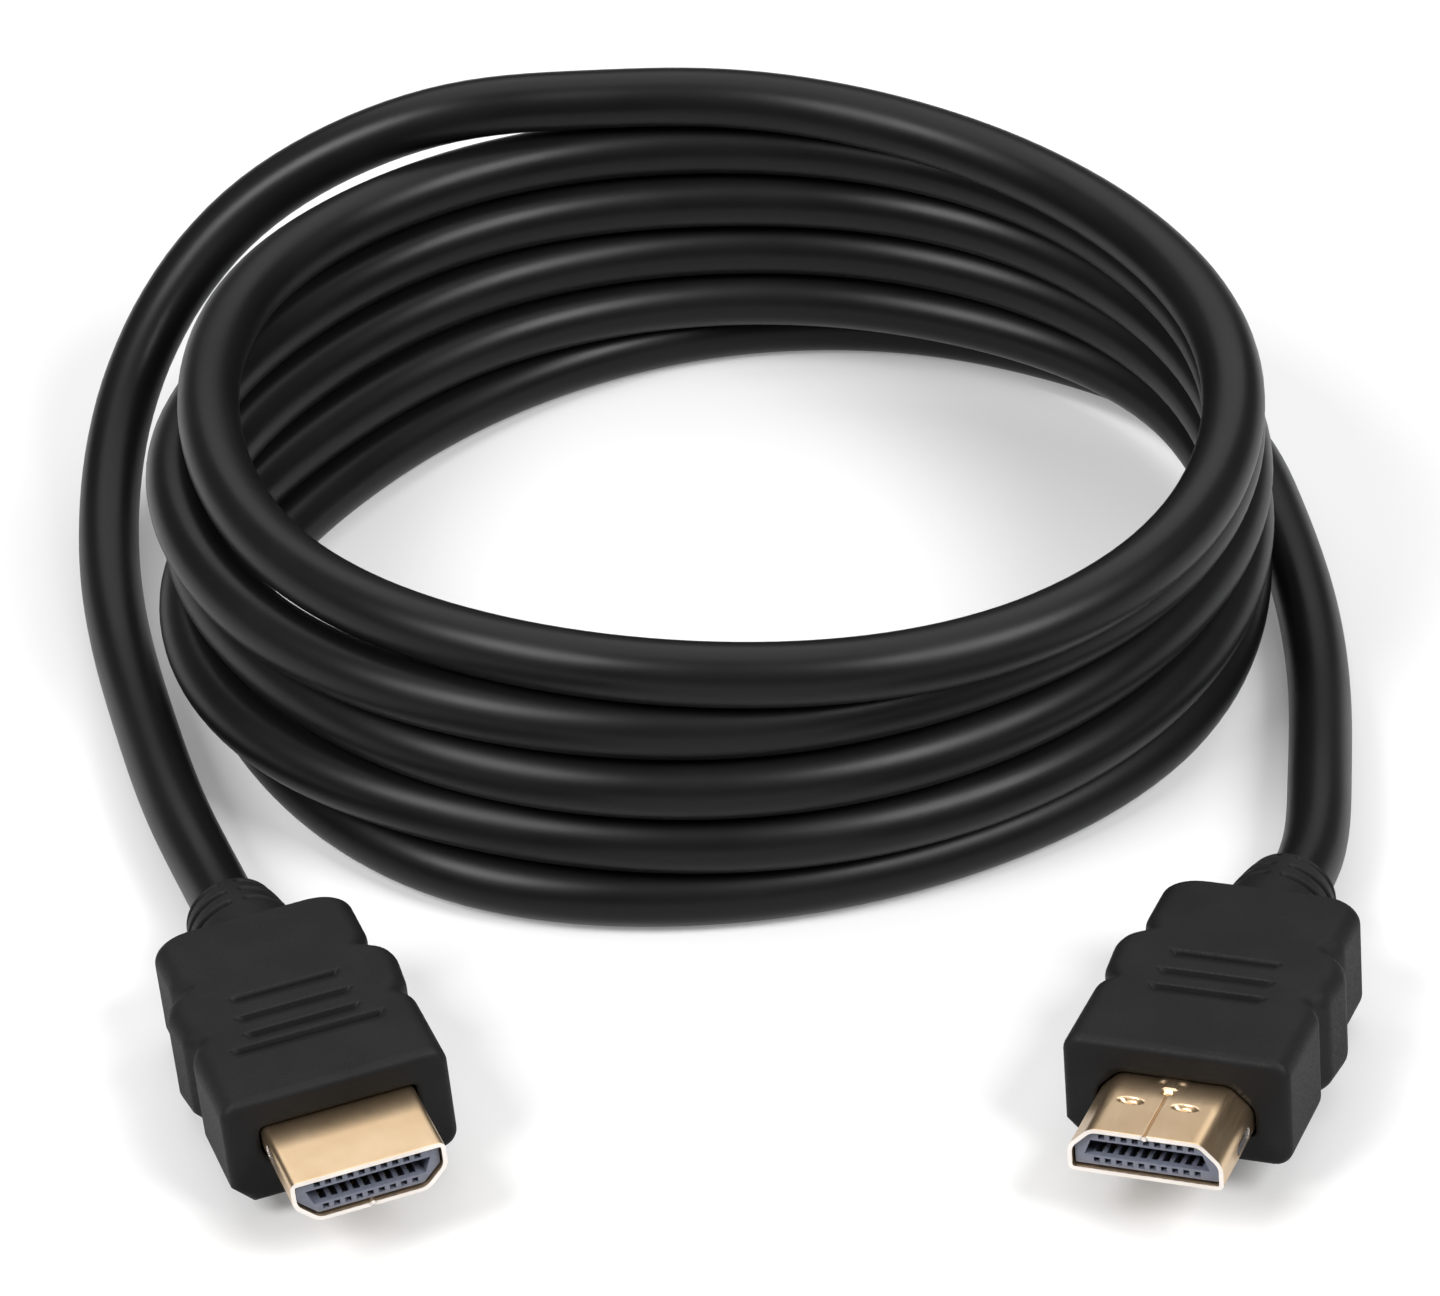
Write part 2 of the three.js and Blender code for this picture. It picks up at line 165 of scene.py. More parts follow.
def around_coil(radius, degrees, height):
    """Points at a radius and a bearing round the coil, and a height, in mm."""
    angle = np.radians(degrees)
    across = np.stack([radius * np.cos(angle), radius * np.sin(angle)], -1) + COIL_CENTRE
    return np.concatenate([across, np.broadcast_to(height, np.shape(angle))[..., None]], -1)


def route_points(route):
    """A tail's points from its list of (distance outside the coil's radius, bearing, height)."""
    outside, bearing, height = np.array(route, float).T
    return around_coil(COIL_RADIUS + outside, bearing, height)


def straight_out(plug, distances):
    """Points on a plug's axis, at distances behind the end of its strain relief."""
    return plug.at([[0, COLLAR_END + d, AXIS_HEIGHT] for d in distances])


# %% [markdown]
# Each turn rests on the one below it. Two round cables that touch are one diameter apart, so where
# the upper one lies d further in or out, it is only sqrt(diameter^2 - d^2) higher. The cable is too
# stiff to sink far into a short gap, so the rise is never less than 5.7 mm.

# %% Stack the turns
stops = np.arange(TURN_RADII.size + 1)
radii = np.append(TURN_RADII.ravel(), LAST_RADIUS)
levels = np.append(np.zeros(TURN_RADII.size - STATIONS), BOTTOM_HEIGHTS)
for turn_number in reversed(range(TURNS - 1)):
    here = slice(STATIONS * turn_number, STATIONS * (turn_number + 1))
    under = slice(here.start + STATIONS, here.stop + STATIONS)
    offset = radii[here] - radii[under]
    levels[here] = levels[under] + np.sqrt(np.maximum(TOUCH_DISTANCE ** 2 - offset ** 2, LEAST_RISE ** 2))
turn_points = around_coil(radii, BACK_BEARING - 360 / STATIONS * stops, levels)
print("turns: middle of the highest at", levels.max().round(1), "mm")
print("top turn: middle at the front at", levels[STATIONS // 2].round(1), "mm")

# %% Whole route
route = np.concatenate([
    straight_out(left_plug, STRAIGHT_STRETCH),
    route_points(LEFT_ROUTE),
    turn_points,
    route_points(RIGHT_ROUTE)[::-1],
    straight_out(right_plug, STRAIGHT_STRETCH[::-1]),
])
print("route:", len(route), "points,", len(turn_points), "of them in the five turns")

# %% [markdown]
# A natural cubic spline has one cubic for each span. Where two spans meet, their slopes and bends
# are equal, and one small set of linear equations finds all the bends at once.

# %% One smooth line through the route
RING_SPACING = 2
STEPS_PER_MM = 4
# Points that are nearer than this along the cable, in mm, belong to one stretch of it
OWN_STRETCH = 30


def smooth_line(knots, spacing):
    """Natural cubic spline: between knots a and b the point is a mix of both, plus a cubic part for the
    bend at each, (u^3 - u) * bend * span^2 / 6. It is sampled at even steps of true length."""
    span = np.linalg.norm(np.diff(knots, axis=0), axis=1)
    place = np.append(0, np.cumsum(span))
    system = np.eye(len(knots))
    wanted = np.zeros_like(knots)
    i = np.arange(1, len(knots) - 1)
    system[i, i - 1] = span[i - 1]
    system[i, i] = 2 * (span[i - 1] + span[i])
    system[i, i + 1] = span[i]
    slope = np.diff(knots, axis=0) / span[:, None]
    wanted[i] = 6 * (slope[i] - slope[i - 1])
    bend = np.linalg.solve(system, wanted)

    def at(where):
        k = np.clip(np.searchsorted(place, where, side="right") - 1, 0, len(span) - 1)
        h = span[k][:, None]
        v = (where[:, None] - place[k][:, None]) / h
        u = 1 - v
        curve = ((u ** 3 - u) * bend[k] + (v ** 3 - v) * bend[k + 1]) * h ** 2 / 6
        return u * knots[k] + v * knots[k + 1] + curve

    fine = np.linspace(0, place[-1], int(place[-1] * STEPS_PER_MM))
    run = np.append(0, np.cumsum(np.linalg.norm(np.diff(at(fine), axis=0), axis=1)))
    even = np.linspace(0, run[-1], int(round(run[-1] / spacing)) + 1)
    return at(np.interp(even, run, fine)), even


cable_line, cable_run = smooth_line(route, RING_SPACING)
print("cable:", round(cable_run[-1]), "mm long")
apart = np.linalg.norm(cable_line[:, None] - cable_line[None], axis=2)
far_along = np.abs(cable_run[:, None] - cable_run[None]) > OWN_STRETCH
print("nearest other turn:", round(apart[far_along].min(), 2), "mm from middle to middle")
ahead = np.gradient(cable_line, cable_run, axis=0)
bending = np.linalg.norm(np.gradient(ahead, cable_run, axis=0), axis=1)
print("tightest bend: radius", round(1 / bending.max(), 1), "mm")
print("lowest middle:", cable_line[:, 2].min().round(2), "mm")

# %% [markdown]
# ## Helpers for surfaces
# Every new piece is a stack of closed rings, an array of points with one row for each ring. The rings
# are joined by four-sided faces. An end is closed by a fan of triangles round a middle point.

# %% Ring stack to mesh


def ring_faces(rings, around):
    """The faces between neighbouring rings: for ring r and point p, the corners (r, p), (r, p + 1),
    (r + 1, p + 1) and (r + 1, p), where the last point's neighbour is the first."""
    row = np.arange(rings - 1)[:, None] * around
    here = np.arange(around)[None]
    beside = (here + 1) % around
    corners = [row + here, row + beside, row + beside + around, row + here + around]
    return np.stack(corners, -1).reshape(-1, 4)


def end_fan(first, middle, around):
    """Triangles from a ring that starts at number first to one middle point."""
    here = np.arange(around)
    return np.stack([first + here, first + (here + 1) % around, np.full(around, middle)], -1)


def make_piece(name, points, faces, materials):
    """Puts points in mm and lists of faces into a smooth piece at the origin, faces outwards."""
    mesh = bpy.data.meshes.new(name)
    mesh.from_pydata((points * MM).tolist(), [], [corner for group in faces for corner in group.tolist()])
    for material in materials:
        mesh.materials.append(material)
    piece = bpy.data.objects.new(name, mesh)
    scene.collection.objects.link(piece)
    shape = bmesh.new()
    shape.from_mesh(mesh)
    bmesh.ops.recalc_face_normals(shape, faces=shape.faces)
    shape.to_mesh(mesh)
    shape.free()
    mesh.polygons.foreach_set("use_smooth", np.ones(len(mesh.polygons), bool))
    print(name, "has", len(mesh.polygons), "faces")
    return piece


def closed_stack(name, rings, materials):
    """A piece from rings [ring, point, xyz] in mm, closed at both ends."""
    count, around = rings.shape[:2]
    points = np.concatenate([rings.reshape(-1, 3), rings[[0, -1]].mean(axis=1)])
    fans = [end_fan(0, len(points) - 2, around), end_fan((count - 1) * around, len(points) - 1, around)]
    return make_piece(name, points, [ring_faces(count, around), *fans], materials)


# %% [markdown]
# ## Materials
# A material's colours are written as sRGB hex, as a colour picker shows them, and Blender computes in
# linear light, so one function turns them. Pattern sizes are worked out from real millimetres: with
# Object coordinates in metres, a noise of scale 1 / size has features about that size.

# %% Material helpers


def linear(code):
    """An sRGB hex colour as linear RGBA: below 0.04045 divide by 12.92, above it use the 2.4 power."""
    value = np.array([int(code[i:i + 2], 16) for i in (1, 3, 5)]) / 255
    value = np.where(value <= 0.04045, value / 12.92, ((value + 0.055) / 1.055) ** 2.4)
    return (*value.tolist(), 1.0)


def per_metre(size_mm):
    """The scale of a pattern whose features are this many millimetres across."""
    return 1 / (size_mm * MM)


def add_node(material, kind, inputs=None, **settings):
    """Adds a node. inputs maps a socket's name or number to a value or to another node's output."""
    node = material.node_tree.nodes.new(kind)
    for name, value in settings.items():
        setattr(node, name, value)
    for socket, value in (inputs or {}).items():
        if isinstance(value, bpy.types.NodeSocket):
            material.node_tree.links.new(value, node.inputs[socket])
        else:
            node.inputs[socket].default_value = value
    return node


def new_finish(name, **inputs):
    """An empty material with one Principled shader, whose sockets are set by name."""
    material = bpy.data.materials.new(name)
    material.use_nodes = True
    shader = material.node_tree.nodes["Principled BSDF"]
    for socket, value in inputs.items():
        shader.inputs[socket.replace("_", " ")].default_value = value
    return material, shader


def link(material, output, socket):
    material.node_tree.links.new(output, socket)


# %% [markdown]
# The jacket is extruded soft PVC: black, with a satin gloss that draws long soft highlights. Its skin
# has a very fine orange peel and faint lines along its length from the die. The lines are shallow, so
# they only show where a highlight runs along the cable. They follow the cable's own UV map.

# %% Cable jacket finish
ORANGE_PEEL = 0.6
SMUDGE = 14
DIE_LINES = 40

jacket, jacket_shader = new_finish("satin_black_pvc_jacket", Roughness=0.4, IOR=1.26)
place = add_node(jacket, "ShaderNodeTexCoord")
peel = add_node(
    jacket, "ShaderNodeTexNoise",
    {"Vector": place.outputs["Object"], "Scale": per_metre(ORANGE_PEEL), "Detail": 3},
)
along = add_node(
    jacket, "ShaderNodeMapping", {"Vector": place.outputs["UV"], "Scale": (DIE_LINES, 0.15, 1)}
)
die = add_node(jacket, "ShaderNodeTexNoise", {"Vector": along.outputs[0], "Scale": 1, "Detail": 2})
smudge = add_node(
    jacket, "ShaderNodeTexNoise",
    {"Vector": place.outputs["Object"], "Scale": per_metre(SMUDGE), "Detail": 2},
)
colour = add_node(jacket, "ShaderNodeValToRGB", {"Fac": smudge.outputs[0]})
colour.color_ramp.elements[0].color = linear("#0a0a0b")
colour.color_ramp.elements[1].color = linear("#101011")
gloss = add_node(
    jacket, "ShaderNodeMapRange",
    {"Value": smudge.outputs[0], "From Min": 0.3, "From Max": 0.7, "To Min": 0.33, "To Max": 0.41},
)
fine_bump = add_node(
    jacket, "ShaderNodeBump", {"Height": peel.outputs[0], "Strength": 0.12, "Distance": 0.05 * MM}
)
line_bump = add_node(
    jacket, "ShaderNodeBump",
    {"Height": die.outputs[0], "Strength": 0.15, "Distance": 0.03 * MM, "Normal": fine_bump.outputs[0]},
)
link(jacket, colour.outputs[0], jacket_shader.inputs["Base Color"])
link(jacket, gloss.outputs[0], jacket_shader.inputs["Roughness"])
link(jacket, line_bump.outputs[0], jacket_shader.inputs["Normal"])

# %% [markdown]
# The grip is moulded PVC from a spark-eroded mould, which leaves a fine even grain. It scatters light,
# so the top looks dark grey rather than black. The real grain is about 0.1 mm; it is drawn at 0.22 mm
# so that it shows in the render.

# %% Moulded grip finish
GRAIN = 0.22
GRIP_CLOUD = 6

moulded, moulded_shader = new_finish("spark_grained_black_pvc", Roughness=0.62, IOR=1.25)
place = add_node(moulded, "ShaderNodeTexCoord")
grain = add_node(
    moulded, "ShaderNodeTexNoise",
    {"Vector": place.outputs["Object"], "Scale": per_metre(GRAIN), "Detail": 2},
)
cloud = add_node(
    moulded, "ShaderNodeTexNoise",
    {"Vector": place.outputs["Object"], "Scale": per_metre(GRIP_CLOUD), "Detail": 3},
)
colour = add_node(moulded, "ShaderNodeValToRGB", {"Fac": cloud.outputs[0]})
colour.color_ramp.elements[0].position = 0.3
colour.color_ramp.elements[0].color = linear("#0c0c0d")
colour.color_ramp.elements[1].position = 0.7
colour.color_ramp.elements[1].color = linear("#121213")
gloss = add_node(
    moulded, "ShaderNodeMapRange",
    {"Value": grain.outputs[0], "From Min": 0.3, "From Max": 0.7, "To Min": 0.52, "To Max": 0.68},
)
grain_bump = add_node(
    moulded, "ShaderNodeBump", {"Height": grain.outputs[0], "Strength": 0.35, "Distance": 0.03 * MM}
)
link(moulded, colour.outputs[0], moulded_shader.inputs["Base Color"])
link(moulded, gloss.outputs[0], moulded_shader.inputs["Roughness"])
link(moulded, grain_bump.outputs[0], moulded_shader.inputs["Normal"])

# %% [markdown]
# The shell is thin steel, folded and then flash-plated with gold. The plating is thin, so it is paler
# than solid gold and slightly clouded. Plugging in leaves hair-fine scratches along the shell. Its cut
# rim shows the paler steel.

# %% Plated shell finishes
PLATING_CLOUD = 4
SCRATCH = 0.15


def plated_metal(name, shade_low, shade_high, roughness, plug):
    """Metal whose colour clouds softly and whose fine scratches run along the plug's own y axis."""
    material, shader = new_finish(name, Metallic=1.0, Roughness=roughness)
    place = add_node(material, "ShaderNodeTexCoord")
    cloud = add_node(
        material, "ShaderNodeTexNoise",
        {"Vector": place.outputs["Object"], "Scale": per_metre(PLATING_CLOUD), "Detail": 3},
    )
    colour = add_node(material, "ShaderNodeValToRGB", {"Fac": cloud.outputs[0]})
    colour.color_ramp.elements[0].position = 0.3
    colour.color_ramp.elements[0].color = linear(shade_low)
    colour.color_ramp.elements[1].position = 0.7
    colour.color_ramp.elements[1].color = linear(shade_high)
    yaw = np.arctan2(plug.rotation[1, 0], plug.rotation[0, 0])
    lined_up = add_node(
        material, "ShaderNodeMapping", {"Vector": place.outputs["Object"], "Rotation": (0, 0, -yaw)}
    )
    stretched = add_node(
        material, "ShaderNodeMapping", {"Vector": lined_up.outputs[0], "Scale": (1, 0.03, 1)}
    )
    scratches = add_node(
        material, "ShaderNodeTexNoise",
        {"Vector": stretched.outputs[0], "Scale": per_metre(SCRATCH), "Detail": 2},
    )
    gloss = add_node(
        material, "ShaderNodeMapRange",
        {"Value": scratches.outputs[0], "From Min": 0.3, "From Max": 0.7,
         "To Min": roughness - 0.02, "To Max": roughness + 0.03},
    )
    bump = add_node(
        material, "ShaderNodeBump",
        {"Height": scratches.outputs[0], "Strength": 0.04, "Distance": 0.01 * MM},
    )
    link(material, colour.outputs[0], shader.inputs["Base Color"])
    link(material, gloss.outputs[0], shader.inputs["Roughness"])
    link(material, bump.outputs[0], shader.inputs["Normal"])
    return material


gold = {plug.side: plated_metal(f"flash_gold_plated_steel_{plug.side}", "#cbaf8c", "#d5bb9a", 0.32, plug)
        for plug in (left_plug, right_plug)}
rim_steel = {plug.side: plated_metal(f"cut_steel_rim_{plug.side}", "#d9d0c8", "#e8e2dc", 0.3, plug)
             for plug in (left_plug, right_plug)}

# %% [markdown]
# The carrier is glass-filled nylon, a blue-grey engineering plastic that moulds into thin walls. Its
# surface is dull and slightly mottled by the fibres. The contacts are gold-plated bronze strips. They
# lie deep in the carrier's dark windows, and their gold is darkened by painted shade, the shade of
# those windows, with a faint random mottle.

# %% Carrier and contact finishes
FIBRE_MOTTLE = 0.35
CONTACT_MOTTLE = 0.5

carrier_plastic, carrier_shader = new_finish("blue_grey_glass_filled_nylon", Roughness=0.5, IOR=1.53)
place = add_node(carrier_plastic, "ShaderNodeTexCoord")
mottle = add_node(
    carrier_plastic, "ShaderNodeTexNoise",
    {"Vector": place.outputs["Object"], "Scale": per_metre(FIBRE_MOTTLE), "Detail": 3},
)
colour = add_node(carrier_plastic, "ShaderNodeValToRGB", {"Fac": mottle.outputs[0]})
colour.color_ramp.elements[0].color = linear("#525663")
colour.color_ramp.elements[1].color = linear("#666a77")
bump = add_node(
    carrier_plastic, "ShaderNodeBump",
    {"Height": mottle.outputs[0], "Strength": 0.2, "Distance": 0.02 * MM},
)
link(carrier_plastic, colour.outputs[0], carrier_shader.inputs["Base Color"])
link(carrier_plastic, bump.outputs[0], carrier_shader.inputs["Normal"])

contact_gold_painted_shade, contact_shader = new_finish("gold_plated_bronze_contact_painted_shade", Metallic=1.0, Roughness=0.25)
place = add_node(contact_gold_painted_shade, "ShaderNodeTexCoord")
contact_mottle = add_node(
    contact_gold_painted_shade, "ShaderNodeTexNoise",
    {"Vector": place.outputs["Object"], "Scale": per_metre(CONTACT_MOTTLE), "Detail": 2},
)
colour = add_node(contact_gold_painted_shade, "ShaderNodeValToRGB", {"Fac": contact_mottle.outputs[0]})
# Both golds are dimmed as painted shade for the deep windows; the noise only mottles the tone between
# them
colour.color_ramp.elements[0].color = linear("#8a6f42")
colour.color_ramp.elements[1].color = linear("#a68a5a")
link(contact_gold_painted_shade, colour.outputs[0], contact_shader.inputs["Base Color"])

# %% [markdown]
# ## The cable
# The jacket is a round tube along the smooth line. The line never stands upright, so a sideways
# direction, level and square to the line, always exists, and it keeps the tube from twisting. The
# tube starts 2 mm inside each strain relief. Its UV map runs once round (u) and along in the same
# scale (v), with the seam underneath, where it lies on the table or on the turn below.

# %% Sweep the jacket
AROUND_CABLE = 32

forward = ahead / np.linalg.norm(ahead, axis=1)[:, None]
sideways = np.cross(forward, [0, 0, 1])
sideways /= np.linalg.norm(sideways, axis=1)[:, None]
upwards = np.cross(sideways, forward)
round_angle = np.linspace(0, 2 * np.pi, AROUND_CABLE, endpoint=False) - np.pi / 2
level_part = np.cos(round_angle)[None, :, None] * sideways[:, None]
upward_part = np.sin(round_angle)[None, :, None] * upwards[:, None]
jacket_rings = cable_line[:, None] + CABLE_RADIUS * (level_part + upward_part)
cable = closed_stack("wound_cable", jacket_rings, [jacket])

uv_layer = cable.data.uv_layers.new(name="jacket")
corner_points = np.empty(len(cable.data.loops), int)
cable.data.loops.foreach_get("vertex_index", corner_points)
ring_number = np.clip(corner_points // AROUND_CABLE, 0, len(cable_run) - 1)
around_part = (corner_points % AROUND_CABLE) / AROUND_CABLE
face_start = np.empty(len(cable.data.polygons), int)
cable.data.polygons.foreach_get("loop_start", face_start)
face_of_corner = np.searchsorted(face_start, np.arange(len(corner_points)), side="right") - 1
widest = np.maximum.reduceat(around_part, face_start)[face_of_corner]
around_part = np.where((widest > 0.9) & (around_part < 0.1), around_part + 1, around_part)
along_part = cable_run[ring_number] / (2 * np.pi * CABLE_RADIUS)
uv_layer.data.foreach_set("uv", np.stack([around_part, along_part], -1).ravel().astype(np.float32))

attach(cable, "root")
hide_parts("cable_coil", "left_cable_tail", "right_cable_tail")

# %% [markdown]
# ## The moulded grips
# A grip is one moulding with its strain relief. From above it has a square front block, a groove, a
# swollen middle, a step and a narrower rear. It could be cut out of blocks, but a mould's shape is
# softer than that. So it is a stack of cross sections: rounded rectangles whose half width follows
# the grip's outline, and which turn into circles for the strain relief. A ray from the axis meets each
# section once, so a section is a distance for each direction, and every ring has the same directions.

# %% Section of a grip
HALF_WIDTH = 10.25
HALF_HEIGHT = 5.3
SECTION_CORNER = 1.7
FLAT_TOP_HALF, TOP_POINTS = 8.5, 44
FLAT_SIDE_HALF, SIDE_POINTS = 3.4, 12
CORNER_DEGREES, CORNER_POINTS = (20, 31), 8


def ring_directions():
    """Directions round the axis: evenly spaced over the flat top and bottom, closer at the corners."""
    top = np.arctan2(HALF_HEIGHT, np.linspace(FLAT_TOP_HALF, -FLAT_TOP_HALF, TOP_POINTS))
    corner = np.radians(np.linspace(*CORNER_DEGREES, CORNER_POINTS))
    side = np.arctan2(np.linspace(-FLAT_SIDE_HALF, FLAT_SIDE_HALF, SIDE_POINTS), HALF_WIDTH)
    right = np.concatenate([side, corner])
    left = np.concatenate([np.pi - corner[::-1], np.pi + side])
    angles = np.concatenate([right, top, left, -top[::-1], -corner[::-1]])
    return np.unique(np.round(np.mod(angles, 2 * np.pi), 6))


def rounded_section(direction, half_width, half_height, corner):
    """Distance from the axis to a rounded rectangle along each direction: the nearer of its side and
    its top, or, where that point is past a corner's centre both ways, the corner's circle."""
    across, up = np.abs(np.cos(direction)), np.abs(np.sin(direction))
    flat = np.minimum(half_width / np.maximum(across, 1e-9), half_height / np.maximum(up, 1e-9))
    centre_x, centre_z = half_width - corner, half_height - corner
    past = (flat * across > centre_x) & (flat * up > centre_z)
    towards = centre_x * across + centre_z * up
    inside = np.maximum(towards ** 2 - centre_x ** 2 - centre_z ** 2 + corner ** 2, 0)
    return np.where(past, towards + np.sqrt(inside), flat)


directions = ring_directions()
print("grip rings have", len(directions), "points")

# %% [markdown]
# The outline is drawn as straight runs between a few places and is then averaged over a bell a third
# of a millimetre wide, which rounds every corner as a mould maker's cutter would.

# %% Outline of a grip
GRIP_LENGTH = 27.8
FRONT_ROUND = 0.8
REAR_ROUND = 1.6
COLLAR_RADIUS = 5.25
COLLAR_FILLET = 0.5
COLLAR_TAPER = 1.05
COLLAR_LIP = 0.9
COLLAR_LIP_LENGTH = 0.7
# A section is a circle when its corner radius is its half width; this little less keeps it well formed
CORNER_SLACK = 0.02
REAR_CORNER = 0.6
BODY_SPACING = 0.09
COLLAR_SPACING = 0.1
OUTLINE_BELL = 0.3
FINE_STEP = 0.02
SIDE_PLACES = [0, 9.7, 10.9, 11.2, 12.7, 16.6, 17.9, 19.2, 19.6, 21.3, 40]
SIDE_CHANGES = [0, 0, -0.85, -0.85, 0.05, 0.4, 0.1, -1.8, -1.8, -1.05, -0.85]


def softened(places, values, where, width):
    """Straight runs through (place, value), averaged over a bell of this width, read at where."""
    fine = np.arange(-6, 46, FINE_STEP)
    reach = np.arange(-3 * width, 3 * width + FINE_STEP / 2, FINE_STEP)
    bell = np.exp(-0.5 * (reach / width) ** 2)
    runs = np.interp(fine, places, values)
    return np.interp(where, fine, np.convolve(runs, bell / bell.sum(), mode="same"))


def grip_stations():
    """Rows of (distance behind the front face, half width, half height, corner) from front to collar."""
    bow = np.linspace(0, np.pi / 2, 9)
    front_inset = FRONT_ROUND * (1 - np.sin(bow))
    front = FRONT_ROUND * (1 - np.cos(bow))
    body = np.arange(FRONT_ROUND, GRIP_LENGTH - REAR_ROUND, BODY_SPACING)[1:]
    rear_bow = np.linspace(np.pi / 2, 0, 12)
    rear = GRIP_LENGTH - REAR_ROUND * (1 - np.cos(rear_bow))
    place = np.concatenate([front, body, rear])
    inset = np.concatenate([front_inset, np.zeros(len(body)), REAR_ROUND * (1 - np.sin(rear_bow))])
    rounding = np.concatenate([-front_inset, np.zeros(len(body)), REAR_CORNER * (1 - np.sin(rear_bow))])
    half = HALF_WIDTH + softened(SIDE_PLACES, SIDE_CHANGES, place, OUTLINE_BELL) - inset
    tall = np.full(len(place), HALF_HEIGHT)
    tall[:len(front)] -= front_inset
    return np.stack([place, half, tall, SECTION_CORNER + rounding], -1)


def collar_stations(last):
    """Rows from the grip's rear face through a small fillet and along the round strain relief. Its
    radius falls with the square of the distance, and its end is rounded down to the cable."""
    narrowing = np.linspace(0, 1, 7)[1:, None]
    wide = COLLAR_RADIUS + COLLAR_FILLET
    start = np.array([GRIP_LENGTH, wide, COLLAR_RADIUS, COLLAR_RADIUS - CORNER_SLACK])
    face = last + (start - last) * narrowing
    bow = np.linspace(0, np.pi / 2, 6)[1:]
    fillet = np.stack([
        GRIP_LENGTH + COLLAR_FILLET * (1 - np.cos(bow)),
        wide - COLLAR_FILLET * np.sin(bow),
        np.full(5, COLLAR_RADIUS),
        np.full(5, COLLAR_RADIUS - CORNER_SLACK),
    ], -1)
    back = np.arange(GRIP_LENGTH + COLLAR_FILLET, COLLAR_END - COLLAR_LIP_LENGTH, COLLAR_SPACING)[1:]
    radius = COLLAR_RADIUS - COLLAR_TAPER * ((back - GRIP_LENGTH) / (COLLAR_END - GRIP_LENGTH)) ** 2
    tube = np.stack([back, radius, radius, radius - CORNER_SLACK], -1)
    bow = np.linspace(0, np.pi / 2, 8)[1:]
    end_place = back[-1] + (COLLAR_END - back[-1]) * np.sin(bow)
    end_radius = radius[-1] - COLLAR_LIP * (1 - np.cos(bow))
    end = np.stack([end_place, end_radius, end_radius, end_radius - CORNER_SLACK], -1)
    return np.concatenate([face, fillet, tube, end])


# %% [markdown]
# Two kinds of relief are pressed into these sections. On the flat faces, finger ribs look like
# shingles: the surface sinks slowly towards the rear, ends in a narrow line 1 mm deep that catches
# little light, and steps up again. Round the strain relief run three ring grooves, which stop at the
# smooth mould seam along the top and bottom.

# %% Ribs and ring grooves
RIB_SINK = 1.5
RIB_CURVE = 1.4
RIB_END = 0.5
RIB_DEPTH = 0.4
RIB_WALL = 0.2
RIB_LINE_DEPTH = 1.0
RIB_LINE_HALF = 0.22
RIBS = [(10.0, 5.2), (12.7, 5.2), (15.8, 5.0)]
LONG_RIB = (8.0, 6.9)
RING_GROOVES = [31.1, 33.2, 35.3]
RING_GROOVE_HALF = 0.34
RING_GROOVE_DEPTH = 1.1
SEAM_HALF = 0.75
SEAM_EASE = 0.35
POCKET_DEPTH = 2.3
POCKET_LIP = 0.12
FLAT_TOLERANCE = 0.05


def smooth_step(value, low, high):
    """Eases from 0 at low to 1 at high."""
    t = np.clip((value - low) / (high - low), 0, 1)
    return t * t * (3 - 2 * t)


def rib_depth(x, y, ribs):
    """How far the flat face sinks: for each rib a ramp down to its place, a narrow line pressed deeper
    there, and then a quick step up."""
    depth = np.zeros(np.broadcast(x, y).shape)
    for place, half_length in ribs:
        ramp = smooth_step(y, place - RIB_SINK, place) ** RIB_CURVE
        ramp = ramp * (1 - smooth_step(y, place, place + RIB_WALL))
        line = np.exp(-((y - place) / RIB_LINE_HALF) ** 4)
        ends = 1 - smooth_step(np.abs(x), half_length - RIB_END, half_length)
        depth = np.maximum(depth, np.maximum(RIB_DEPTH * ramp, RIB_LINE_DEPTH * line) * ends)
    return depth


def ring_groove_depth(x, y):
    """Three flat-bottomed grooves round the strain relief, faded out near the seam at x = 0."""
    grooves = sum(np.exp(-((y - place) / RING_GROOVE_HALF) ** 6) for place in RING_GROOVES)
    return RING_GROOVE_DEPTH * grooves * smooth_step(np.abs(x), SEAM_HALF, SEAM_HALF + SEAM_EASE)


# %% [markdown]
# The shell's section is a D: 13.9 mm on its wide face, 9.9 mm on its narrow face and 4.45 mm tall,
# with straight sides 2.5 mm tall. The same outline, a little larger, is the pocket in the grip that
# the shell's root sits in.

# %% The D outline
SHELL_WIDE, SHELL_NARROW, SHELL_HEIGHT, SHELL_SIDE = 13.9, 9.9, 4.45, 2.5
SHELL_CORNER = 0.7


def unit(vectors):
    """Each row scaled to length one."""
    return vectors / np.linalg.norm(vectors, axis=1)[:, None]


